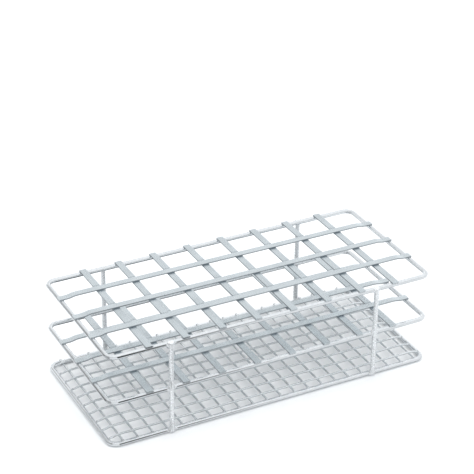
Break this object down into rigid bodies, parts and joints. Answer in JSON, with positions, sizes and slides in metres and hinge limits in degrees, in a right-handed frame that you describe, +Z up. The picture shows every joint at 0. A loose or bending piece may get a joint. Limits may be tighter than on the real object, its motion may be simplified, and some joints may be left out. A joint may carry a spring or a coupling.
{
  "type": "test tube rack",
  "caption": "Free-standing rack of welded, bright-plated steel wire: two grid tiers of flat strips hold test tubes upright over a fine mesh base.",
  "frame": {"origin": "on the standing plane, under the middle of the rack", "axes": "+X along the rack's length, +Y from its front long side to its back long side, +Z up"},
  "size_m": [0.194, 0.0908, 0.0575],
  "materials": {
    "rim_wire": "bright nickel-type plating on round steel wire",
    "plated_strip": "satin plated flat steel strip with rolled edges",
    "mesh_wire": "satin plated thin round steel wire"
  },
  "bodies": {
    "root": {"base_rim": "rim_wire", "middle_rim": "rim_wire", "middle_cross_strip_1": "plated_strip", "middle_cross_strip_2": "plated_strip", "middle_cross_strip_3": "plated_strip", "middle_cross_strip_4": "plated_strip", "middle_cross_strip_5": "plated_strip", "middle_cross_strip_6": "plated_strip", "middle_cross_strip_7": "plated_strip", "middle_cross_strip_8": "plated_strip", "middle_long_strip_1": "plated_strip", "middle_long_strip_2": "plated_strip", "middle_long_strip_3": "plated_strip", "top_rim": "rim_wire", "top_cross_strip_1": "plated_strip", "top_cross_strip_2": "plated_strip", "top_cross_strip_3": "plated_strip", "top_cross_strip_4": "plated_strip", "top_cross_strip_5": "plated_strip", "top_cross_strip_6": "plated_strip", "top_cross_strip_7": "plated_strip", "top_cross_strip_8": "plated_strip", "top_long_strip_1": "plated_strip", "top_long_strip_2": "plated_strip", "top_long_strip_3": "plated_strip", "upright_front_left": "rim_wire", "upright_front_right": "rim_wire", "upright_back_left": "rim_wire", "upright_back_right": "rim_wire", "mesh_long_wire_01": "mesh_wire", "mesh_long_wire_02": "mesh_wire", "mesh_long_wire_03": "mesh_wire", "mesh_long_wire_04": "mesh_wire", "mesh_long_wire_05": "mesh_wire", "mesh_long_wire_06": "mesh_wire", "mesh_long_wire_07": "mesh_wire", "mesh_long_wire_08": "mesh_wire", "mesh_long_wire_09": "mesh_wire", "mesh_long_wire_10": "mesh_wire", "mesh_cross_wire_02": "mesh_wire", "mesh_cross_wire_03": "mesh_wire", "mesh_cross_wire_04": "mesh_wire", "mesh_cross_wire_05": "mesh_wire", "mesh_cross_wire_06": "mesh_wire", "mesh_cross_wire_07": "mesh_wire", "mesh_cross_wire_08": "mesh_wire", "mesh_cross_wire_09": "mesh_wire", "mesh_cross_wire_10": "mesh_wire", "mesh_cross_wire_11": "mesh_wire", "mesh_cross_wire_12": "mesh_wire", "mesh_cross_wire_13": "mesh_wire", "mesh_cross_wire_14": "mesh_wire", "mesh_cross_wire_15": "mesh_wire", "mesh_cross_wire_16": "mesh_wire", "mesh_cross_wire_17": "mesh_wire", "mesh_cross_wire_18": "mesh_wire", "mesh_cross_wire_19": "mesh_wire", "mesh_cross_wire_20": "mesh_wire", "mesh_cross_wire_21": "mesh_wire", "mesh_end_cross_wires": "mesh_wire"}
  },
  "joints": []
}
